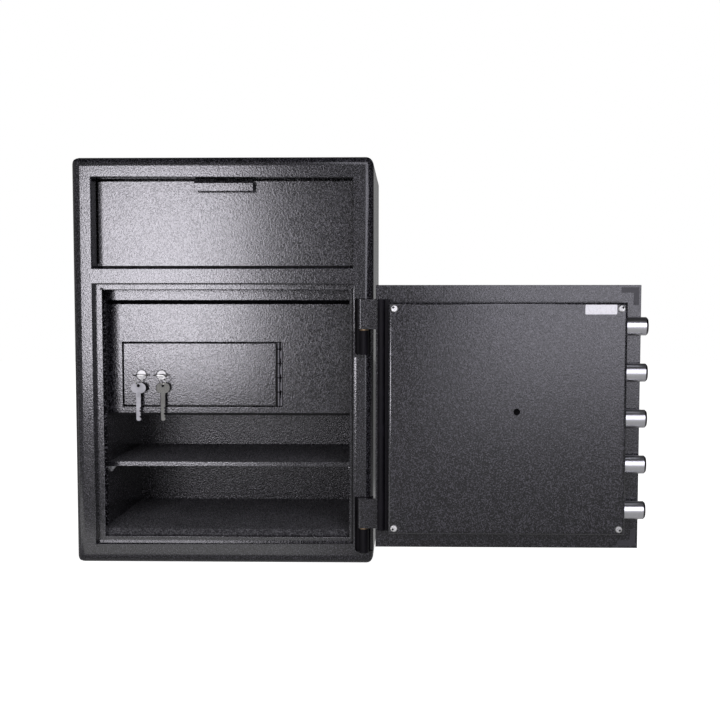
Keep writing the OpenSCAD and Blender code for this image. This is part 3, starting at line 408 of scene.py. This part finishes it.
# Nodes whose paint or metal is in another state than their slot's, or which carry painted light: the fitted
# keys' painted highlight and shade, and the darker nickel of the left spare key, which is painted shade
WORN_OR_PAINTED_LIGHT = {
    "spare_key_left": METAL["nickel_shaded"],
    "hinge_washers": METAL["brass_dull"],
    **dict.fromkeys(("nose_left", "nose_right", "cover_screws"), METAL["nickel_plain"]),
    **dict.fromkeys(("key_left", "key_right"), fitted_key()),
    **dict.fromkeys(BOLTS, bolt_chrome()),
    **dict.fromkeys(("locker_fixed_leaf", "locker_moving_leaf"), hinge_steel()),
    **dict.fromkeys(("frame_hinge_upper", "frame_hinge_lower"), FINISH["dead_bar_coat"]),
    **dict.fromkeys(("chute_pan", "shelf"), FINISH["hammered_coat"]),
}


# ---- Finished copies of the frame's nodes ----


def linked(name, mesh, material):
    """A new object of the mesh, in one material."""
    piece = bpy.data.objects.new(name, mesh)
    scene.collection.objects.link(piece)
    mesh.materials.clear()
    mesh.materials.append(material)
    return piece


def evaluated(piece):
    """The piece with its modifiers worked into a plain mesh."""
    bpy.context.view_layer.update()
    graph = bpy.context.evaluated_depsgraph_get()
    mesh = bpy.data.meshes.new_from_object(piece.evaluated_get(graph))
    piece.modifiers.clear()
    piece.data = mesh
    return piece


FLAT = math.radians(0.3)
SHARP = math.radians(32)


def solid_of(node):
    """A node's surface as one closed mesh, with the flat faces made whole."""
    form = bmesh.new()
    form.from_mesh(frame["nodes"][node].data)
    bmesh.ops.remove_doubles(form, verts=form.verts, dist=MERGED)
    bmesh.ops.dissolve_limit(form, angle_limit=FLAT, verts=form.verts, edges=form.edges, delimit=set())
    bmesh.ops.dissolve_degenerate(form, dist=MERGED, edges=form.edges)
    return form


def outward_edges(form, pick=None):
    """The sharp edges that stand out, or those of them that pick() wants."""
    return [
        e for e in form.edges
        if len(e.link_faces) == 2 and e.calc_face_angle_signed(0) > SHARP
        and (pick is None or pick(e.verts[0].co, e.verts[1].co))
    ]


def rounded(form, radius, segments, pick=None):
    """Rounds the edges that stand out, or those of them that pick() wants."""
    bmesh.ops.bevel(
        form, geom=outward_edges(form, pick), offset=radius, offset_type="OFFSET", segments=segments,
        profile=0.5, affect="EDGES", clamp_overlap=True,
    )


def smooth_shaded(piece):
    """Round faces shaded smooth, sharp edges kept, and flat faces kept flat."""
    form = bmesh.new()
    form.from_mesh(piece.data)
    for face in form.faces:
        face.smooth = True
    for edge in form.edges:
        edge.smooth = len(edge.link_faces) == 2 and edge.calc_face_angle(0) < SHARP
    form.to_mesh(piece.data)
    form.free()
    normals = piece.modifiers.new("normals", "WEIGHTED_NORMAL")
    normals.keep_sharp = True
    return evaluated(piece)


# How far the top of a front face leans back
LEANED = {"shelf": 0.38 * MM}


def leaned(form, node):
    """Leans the front face back at its top, as a folded lip springs back."""
    low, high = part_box(node)
    for vertex in form.verts:
        if abs(vertex.co.y - low.y) < CLOSE and abs(vertex.co.z - high.z) < CLOSE:
            vertex.co.y += LEANED[node]


def finished(node, radius, segments, picks=(None,)):
    """The node's copy with its outward edges rounded, which stands for the node."""
    form = solid_of(node)
    if node in LEANED:
        leaned(form, node)
    if radius:
        for pick in picks:
            rounded(form, radius, segments, pick)
    mesh = bpy.data.meshes.new(node + "_finished")
    form.to_mesh(mesh)
    form.free()
    piece = smooth_shaded(linked(node + "_finished", mesh, WORN_OR_PAINTED_LIGHT.get(node, FINISH[SLOT_OF[node]])))
    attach(piece, BODY_OF[node])
    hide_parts(node)
    return piece


# How far a node's edges are rounded, in millimetres. The edges of other nodes stay sharp.
ROUNDED = {
    "hopper_panel": 2.0, "hopper_surround": 0.8, "hopper_pull": 0.6, "chute_pan": 0.6, "shelf_clips": 0.4,
    "door_stop_frame": 1.0, "door_plate": 1.5, "dead_bar": 0.8, "lock_case": 1.5, "cover_screws": 0.2,
    "frame_hinge_upper": 0.8, "frame_hinge_lower": 0.8, "door_hinge_upper": 1.5, "door_hinge_lower": 1.5,
    "hinge_washers": 0.3, "handle_lever": 1.5, "handle_escutcheon": 1.2, "locker_face": 0.6,
    "locker_catch": 0.8, "nose_left": 0.4, "nose_right": 0.4, "key_left": 0.3, "key_right": 0.3,
    "spare_key_left": 0.3, "spare_key_right": 0.3, **dict.fromkeys(BOLTS, 2.5),
}
EDGE_SEGMENTS = 3
# How far the long front edges of these nodes are rounded, in millimetres
FRONT_ROUNDED = {"front_frame": 2.5, "door_cover": 5.0, "locker_door_panel": 2.0, "shelf": 1.0}
FRONT_SEGMENTS = 6
LONG_EDGE = 50 * MM
HINGE_SIDE = 200 * MM


def on_front_of(node):
    """Picks the long edges of the node's front face, and after them those on the face plate's hinge side."""
    front_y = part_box(node)[0].y

    def long_in_front(a, b):
        in_front = abs(a.y - front_y) < CLOSE and abs(b.y - front_y) < CLOSE
        return in_front and (a - b).length > LONG_EDGE

    def by_hinges(a, b):
        return node == "front_frame" and a.x > HINGE_SIDE and b.x > HINGE_SIDE

    return (
        lambda a, b: long_in_front(a, b) and not by_hinges(a, b),
        lambda a, b: long_in_front(a, b) and by_hinges(a, b),
    )


def lowered(piece, top, depth):
    """Moves the vertices of the top face down, to leave room for the pile."""
    for vertex in piece.data.vertices:
        if abs(vertex.co.z - top) < CLOSE:
            vertex.co.z -= depth


PILE_ROOM = 1.6 * MM
for node in BODY_OF:
    if node in FRONT_ROUNDED:
        finished(node, FRONT_ROUNDED[node] * MM, FRONT_SEGMENTS, on_front_of(node))
    else:
        piece = finished(node, ROUNDED.get(node, 0) * MM, EDGE_SEGMENTS)
        if node in ("shelf_mat", "floor_mat"):
            lowered(piece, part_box(node)[1].z, PILE_ROOM)


# ---- Carpet pile ----


# How far from upright a tuft may lean and turn, in radians, and how its three sizes vary
TUFT_RANGES = (
    ("Rotation", (-0.5, -0.5, 0), (0.5, 0.5, 6.283)),
    ("Scale", (0.6, 0.6, 0.5), (1.25, 1.25, 1.15)),
)
# The least upward part of a face's normal for tufts to stand on it
UPWARD = 0.9


def tuft_tree():
    """Nodes that set small three-sided tufts all over the upward faces of a mesh."""
    tree = bpy.data.node_groups.new("carpet_tufts", "GeometryNodeTree")
    sockets = tree.interface
    sockets.new_socket("Geometry", in_out="INPUT", socket_type="NodeSocketGeometry")
    for name, kind in (("Density", "Float"), ("Height", "Float"), ("Width", "Float"), ("Seed", "Int")):
        sockets.new_socket(name, in_out="INPUT", socket_type="NodeSocket" + kind)
    sockets.new_socket("Material", in_out="INPUT", socket_type="NodeSocketMaterial")
    sockets.new_socket("Geometry", in_out="OUTPUT", socket_type="NodeSocketGeometry")
    place, link = tree.nodes.new, tree.links.new
    given = place("NodeGroupInput").outputs

    axes = place("ShaderNodeSeparateXYZ")
    link(place("GeometryNodeInputNormal").outputs[0], axes.inputs[0])
    upward = place("FunctionNodeCompare")
    upward.operation = "GREATER_THAN"
    link(axes.outputs["Z"], upward.inputs["A"])
    upward.inputs["B"].default_value = UPWARD

    points = place("GeometryNodeDistributePointsOnFaces")
    link(given["Geometry"], points.inputs["Mesh"])
    link(upward.outputs["Result"], points.inputs["Selection"])
    link(given["Density"], points.inputs["Density"])
    link(given["Seed"], points.inputs["Seed"])

    tuft = place("GeometryNodeMeshCone")
    tuft.fill_type = "NONE"
    tuft.inputs["Vertices"].default_value = 3
    tuft.inputs["Radius Top"].default_value = 0
    link(given["Width"], tuft.inputs["Radius Bottom"])
    link(given["Height"], tuft.inputs["Depth"])

    spread = place("GeometryNodeInstanceOnPoints")
    link(points.outputs["Points"], spread.inputs["Points"])
    link(tuft.outputs["Mesh"], spread.inputs["Instance"])
    for socket, low, high in TUFT_RANGES:
        chance = place("FunctionNodeRandomValue")
        chance.data_type = "FLOAT_VECTOR"
        chance.inputs["Min"].default_value = low
        chance.inputs["Max"].default_value = high
        link(given["Seed"], chance.inputs["Seed"])
        link(chance.outputs["Value"], spread.inputs[socket])

    realized = place("GeometryNodeRealizeInstances")
    link(spread.outputs["Instances"], realized.inputs["Geometry"])
    coated = place("GeometryNodeSetMaterial")
    link(realized.outputs["Geometry"], coated.inputs["Geometry"])
    link(given["Material"], coated.inputs["Material"])
    link(coated.outputs["Geometry"], place("NodeGroupOutput").inputs["Geometry"])
    return tree


# Tufts in a square metre, and the height and the width of one
PILE = {"Density": 150000.0, "Height": 2.6 * MM, "Width": 1.3 * MM}


def carpeted(node, tree, seed):
    """The pile of one mat."""
    pile = linked(node + "_pile", bpy.data.objects[node + "_finished"].data.copy(), FINISH["carpet"])
    grower = pile.modifiers.new("pile", "NODES")
    grower.node_group = tree
    values = {**PILE, "Seed": seed, "Material": FINISH["carpet"]}
    for item in tree.interface.items_tree:
        if item.in_out == "INPUT" and item.name in values:
            grower[item.identifier] = values[item.name]
    evaluated(pile)
    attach(pile, BODY_OF[node])


TUFTS = tuft_tree()
carpeted("shelf_mat", TUFTS, 3)
carpeted("floor_mat", TUFTS, 8)


# ---- Small pieces ----


def slab(form, low, high):
    """Adds a box between two corners, in millimetres."""
    middle = [(a + b) / 2 * MM for a, b in zip(low, high)]
    size = [(b - a) * MM for a, b in zip(low, high)]
    bmesh.ops.create_cube(form, size=1, matrix=Matrix.Translation(middle) @ Matrix.Diagonal((*size, 1)))


def added(name, form, material, body):
    """Makes a piece of the form, which rides a body."""
    mesh = bpy.data.meshes.new(name)
    form.to_mesh(mesh)
    form.free()
    piece = smooth_shaded(linked(name, mesh, material))
    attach(piece, body)


def slabs(name, material, body, boxes, corner=0):
    """One piece of boxes, whose edges along Y can be rounded."""
    form = bmesh.new()
    for low, high in boxes:
        slab(form, low, high)
    if corner:
        along_y = [e for e in form.edges if abs(e.verts[0].co.y - e.verts[1].co.y) > MERGED]
        bmesh.ops.bevel(form, geom=along_y, offset=corner * MM, segments=4, profile=0.5, affect="EDGES")
    added(name, form, material, body)


RING_STEPS = 48


def ring(form, centre, inner, outer, y_low, y_high):
    """Adds a flat ring round an axis along Y, in millimetres."""
    loops = []
    for radius, y in ((inner, y_low), (outer, y_low), (outer, y_high), (inner, y_high)):
        loop = []
        for i in range(RING_STEPS):
            turn = 2 * math.pi * i / RING_STEPS
            spot = (centre[0] + radius * math.cos(turn), y, centre[1] + radius * math.sin(turn))
            loop.append(form.verts.new([c * MM for c in spot]))
        loops.append(loop)
    for a, b in zip(loops, loops[1:] + loops[:1]):
        for i in range(RING_STEPS):
            k = (i + 1) % RING_STEPS
            form.faces.new((a[i], a[k], b[k], b[i]))
    bmesh.ops.recalc_face_normals(form, faces=form.faces)


# The blank sticker on the door's cover, the films on the plate's corners and the bare nick on the dead bar
slabs("sticker", STICKER_PAPER, "main_door", [((598.9, -340.25, 424.6), (650.2, -339.9, 440.3))], corner=1.5)
slabs("corner_films", CORNER_FILM, "main_door", [
    ((662.8, -291.95, 459.7), (692, -291.6, 468.7)), ((683, -292.0, 439.8), (692, -291.6, 468.7)),
    ((662.8, -291.95, 39.3), (692, -291.6, 48.3)), ((683, -292.0, 39.3), (692, -291.6, 68.2)),
])
slabs("bare_nick", FINISH["bare_steel"], "main_door", [
    ((281.2, -318.1, 70), (282.1, -317.5, 82)),
])

# Painted shade in the cross recesses of the cover's screws, and in the inside of its change-key hole
SCREW_X, SCREW_Z = (288.0, 659.8), (72.0, 436.0)
CROSS = ((1.9, 0.7), (0.7, 1.9))
slabs("screw_recess_shade", PAINTED_SHADE_BLACK, "main_door", [
    ((x - w, -343.15, z - h), (x + w, -342.9, z + h)) for x in SCREW_X for z in SCREW_Z for w, h in CROSS
])
shield = bmesh.new()
ring(shield, (SPINDLE_X, SPINDLE_Z), 2.2, 9, -322.4, -321.8)
added("change_hole_shield", shield, FINISH["dead_bar_coat"], "main_door")
slabs("change_hole_shade", PAINTED_SHADE_BLACK, "main_door", [((487.4, -322.0, 263.6), (492.0, -321.75, 268.4))])

# Black rims of painted shadow in the gaps round the two lock noses, and grey marks of painted shade for the
# slots of their keyways. The slots' middles are measured from the nose's.
NOSE_X, NOSE_Z = {"left": -154.1, "right": -118.9}, 317.1
NOSE_SLOTS = {"left": ((-4.4, 0.7), (2.6, -2.6)), "right": ((1.0, -1.4), (-4.6, 0.6))}
SLOT_W, SLOT_H = 1.7, 0.6
rims = bmesh.new()
for x in NOSE_X.values():
    ring(rims, (x, NOSE_Z), 8.2, 9.5, -160.7, -159.9)
added("nose_shadow_rims", rims, PAINTED_SHADE_BLACK, "locker_door")
for side, x in NOSE_X.items():
    slabs(side + "_nose_slots", FINISH["bare_steel"], BODY_OF["key_" + side], [
        ((x + a - SLOT_W, -162.2, NOSE_Z + b - SLOT_H), (x + a + SLOT_W, -161.9, NOSE_Z + b + SLOT_H))
        for a, b in NOSE_SLOTS[side]
    ])

# The rolled arris of the door's opening on its hinge side
arris = bmesh.new()
NARROW = ((220.3, -253.9), (220.5, -254.1), (222.7, -254.2), (222.9, -253.9))
WIDE = ((221.4, -253.9), (221.7, -254.1), (225.2, -254.5), (225.6, -253.9))
for profile, low, high in ((NARROW, 395, 471), (WIDE, 120, 351.5)):
    ends = [[arris.verts.new((x * MM, y * MM, z * MM)) for x, y in profile] for z in (low, high)]
    for i in range(4):
        k = (i + 1) % 4
        arris.faces.new((ends[0][i], ends[0][k], ends[1][k], ends[1][i]))
    arris.faces.new(ends[0])
    arris.faces.new(ends[1])
bmesh.ops.recalc_face_normals(arris, faces=arris.faces)
added("opening_arris", arris, FINISH["hammered_coat"], "body")

# Black strips of painted shadow in the shaded gaps beside the stop flange, under the lock box's face and on
# both sides of its piano hinge
slabs("painted_shadow_strips", PAINTED_SHADE_BLACK, "body", [
    ((217.0, -235.25, 40), (218.4, -234.9, 468)), ((-214, -159.8, 246.8), (214, -158.6, 250.7)),
    ((92.1, -160.3, 262), (93.6, -159.9, 374)),
])
slabs("hinge_side_shadow_strip", PAINTED_SHADE_BLACK, "locker_door", [((82.0, -160.3, 263.5), (83.6, -160.0, 373))])

# Weld beads in the corners of the stop frame
BEAD_SIZE = Matrix.Diagonal((3.4 * MM, 1.0 * MM, 1.8 * MM, 1))
BEAD_RIPPLE = 0.3 * MM
beads = bmesh.new()
for x, z in ((-208.7, 467), (211, 469.5), (219.5, 38.5)):
    place = Matrix.Translation((x * MM, -235 * MM, z * MM)) @ BEAD_SIZE
    bmesh.ops.create_icosphere(beads, subdivisions=3, radius=1, matrix=place)
for vertex in beads.verts:
    wave = math.sin(vertex.co.x * 2100) * math.cos(vertex.co.z * 1700)
    vertex.co += vertex.normal * BEAD_RIPPLE * wave
added("weld_beads", beads, FINISH["hammered_coat"], "body")


# ---- Marks of the dial ----

DIAL_FACE = -279.0 * MM
CONE_SLOPE = math.atan2(5.0, 14.56)
# The radius and the rise of the cone's rim, the outer end of the marks, and the middle of the numbers
RIM, RIM_RISE = 36.0, 7.0
MARKS_END, NUMBERS_AT = 35.4, 28.0
MARKS, NUMBERS = 100, 10


def on_dial(turn, radius):
    """A place on the dial's sloping ring: x runs round the dial, y outwards and z off its face."""
    outward = Vector((-math.sin(turn), 0, math.cos(turn)))
    along = Vector((-math.cos(turn), 0, -math.sin(turn)))
    up = outward * math.cos(CONE_SLOPE) + Vector((0, -math.sin(CONE_SLOPE), 0))
    rise = (RIM_RISE + (RIM - radius) * math.tan(CONE_SLOPE)) * MM
    spot = Vector((SPINDLE_X * MM, DIAL_FACE + rise, SPINDLE_Z * MM)) + outward * radius * MM
    return Matrix.Translation(spot) @ Matrix((along, up, along.cross(up))).transposed().to_4x4()


marks = bmesh.new()
for i in range(MARKS):
    length = 3.4 if i % 10 == 0 else 2.6 if i % 5 == 0 else 1.7
    turn = 2 * math.pi * i / MARKS
    size = Matrix.Diagonal((0.5 * MM, length * MM, 0.1 * MM, 1))
    bmesh.ops.create_cube(marks, size=1, matrix=on_dial(turn, MARKS_END - length / 2) @ size)
for i in range(NUMBERS):
    words = bpy.data.curves.new("number", "FONT")
    words.body = str(i * 10)
    words.size = 5.0 * MM
    words.extrude = 0.05 * MM
    words.align_x = "CENTER"
    words.align_y = "CENTER"
    letters = bpy.data.objects.new("number", words)
    scene.collection.objects.link(letters)
    bpy.context.view_layer.update()
    flat = bpy.data.meshes.new_from_object(letters)
    flat.transform(on_dial(2 * math.pi * i / NUMBERS, NUMBERS_AT))
    marks.from_mesh(flat)
    bpy.data.objects.remove(letters)
added("dial_marks", marks, DIAL_WHITE, "dial")
index = bmesh.new()
slab(index, (SPINDLE_X - 0.5, -273.1, SPINDLE_Z + 38), (SPINDLE_X + 0.5, -272.9, SPINDLE_Z + 43.5))
added("dial_index", index, DIAL_WHITE, "main_door")


# ---- Camera, lights and floor ----


def photograph_camera():
    """The photograph's view: from the front, a little to the right and from just above the middle."""
    camera = bpy.data.objects.new("camera", bpy.data.cameras.new("camera"))
    scene.collection.objects.link(camera)
    camera.data.sensor_width = 36
    camera.data.lens = 80.11
    camera.data.shift_x = 0.0129
    camera.data.shift_y = 0.1289
    camera.location = (0.3101, -2.9548, 0.4470)
    camera.rotation_euler = (math.radians(84.57), 0, math.radians(2.0))
    scene.camera = camera


def softbox(name, place, aim, width, height, radiance, tint):
    """A soft lamp of the given size and brightness, which faces the point aim."""
    lamp = bpy.data.lights.new(name, "AREA")
    lamp.shape = "RECTANGLE"
    lamp.size = width
    lamp.size_y = height
    lamp.energy = radiance * math.pi * width * height
    lamp.color = tint
    light = bpy.data.objects.new(name, lamp)
    scene.collection.objects.link(light)
    light.location = place
    light.rotation_euler = (Vector(aim) - Vector(place)).to_track_quat("-Z", "Y").to_euler()


class Surroundings(Finish):
    """The nodes of the world or the floor, whose look differs for what sees it."""

    def __init__(self, tree):
        self.tree = tree

    def seen(self):
        """1 where the camera or a ray through glass sees it."""
        path = self.tree.nodes.new("ShaderNodeLightPath")
        camera = Level(self, path.outputs["Is Camera Ray"])
        self.mirrored = Level(self, path.outputs["Is Glossy Ray"])
        return camera.at_least(Level(self, path.outputs["Is Transmission Ray"]))


# How bright gloss sees each part of the room, and how bright the room is as a lamp
STUDIO_IN_METAL = 0.30
CEILING_IN_METAL = 0.03
RIGHT_WALL_IN_METAL = 0.05
ROOM_LIGHT = 0.30


def room():
    """A white backdrop. Gloss sees a dimmer studio with a dark ceiling and a dark right wall."""
    world = bpy.data.worlds.new("room")
    scene.world = world
    world.use_nodes = True
    nodes = Surroundings(world.node_tree)
    seen = nodes.seen()
    background = world.node_tree.nodes["Background"]
    direction = nodes.axes(nodes.add("ShaderNodeTexCoord", output="Generated"))
    ceiling = direction[2].eased(0.50, 0.72)
    right_wall = direction[0].eased(0.22, 0.42)
    sides = STUDIO_IN_METAL + right_wall * (RIGHT_WALL_IN_METAL - STUDIO_IN_METAL)
    in_metal = sides + ceiling * (CEILING_IN_METAL - sides)
    rest = (1 - seen) * (1 - nodes.mirrored) * ROOM_LIGHT
    nodes.feed(background.inputs["Strength"], seen + nodes.mirrored * in_metal + rest)
    background.inputs["Color"].default_value = (1, 1, 1, 1)


FLOOR_RADIUS = 9
FLOOR_GLOW = 0.94
# How bright gloss sees the floor, the part of it that fades behind the safe, and the glowing sheet before
# the safe, which gloss alone sees; SHEET_BACK ends the sheet short of the safe as painted shade in its
# reflections, where the safe shades the floor
FLOOR_IN_METAL = 0.30
FADED = 0.85
FADE_DEPTH = (0.3, 1.2)
SHEET_IN_METAL = 1.7
SHEET_FRONT, SHEET_BACK, SHEET_RIGHT = (-0.72, -0.56), (-0.36, -0.28), (0.05, 0.30)


def floor():
    """A pale floor that keeps the safe's shadow. Gloss sees a glowing white sheet on it before the safe,
    which ends short of the safe as painted shade in its reflections.
    """
    form = bmesh.new()
    bmesh.ops.create_circle(form, cap_ends=True, radius=FLOOR_RADIUS, segments=64)
    mesh = bpy.data.meshes.new("floor")
    form.to_mesh(mesh)
    form.free()
    pale = bpy.data.materials.new("pale_floor")
    pale.use_nodes = True
    nodes = Surroundings(pale.node_tree)
    nodes.shader = pale.node_tree.nodes["Principled BSDF"]
    nodes.shader.inputs["Specular IOR Level"].default_value = 0
    nodes.shader.inputs["Roughness"].default_value = 1
    nodes.shader.inputs["Emission Color"].default_value = (1, 1, 1, 1)
    seen = nodes.seen()
    across, depth = nodes.axes(nodes.place())[:2]
    # The sheet stops at SHEET_BACK, short of the safe: painted shade in reflections of the floor that the
    # safe shades
    sheet = depth.eased(*SHEET_FRONT) * (1 - depth.eased(*SHEET_BACK)) * (1 - across.eased(*SHEET_RIGHT))
    faded = depth.eased(*FADE_DEPTH) * FLOOR_IN_METAL * FADED
    in_metal = sheet * (SHEET_IN_METAL - FLOOR_IN_METAL) - faded + FLOOR_IN_METAL
    nodes.set("Emission Strength", seen * FLOOR_GLOW + nodes.mirrored * in_metal)
    nodes.set("Base Color", nodes.tint(seen, (0.35, 0.35, 0.35), (0.8, 0.8, 0.8)))
    linked("floor", mesh, pale)


photograph_camera()
softbox(
    "key_softbox", place=(-0.54, -2.95, 0.56), aim=(-0.05, -0.2, 0.4),
    width=0.60, height=0.80, radiance=16.5, tint=(1.01, 0.98, 1.07),
)
softbox(
    "side_softbox", place=(0.94, -2.8, 1.20), aim=(0.5, -0.3, 0.35),
    width=0.9, height=2.1, radiance=2.2, tint=(1.02, 1.0, 1.13),
)
softbox(
    "side_scrim", place=(0.98, -3.1, 1.20), aim=(0.5, -0.3, 0.9),
    width=1.25, height=2.6, radiance=1.4, tint=(1.02, 1.0, 1.13),
)
room()
floor()
scene.view_settings.view_transform = "Standard"
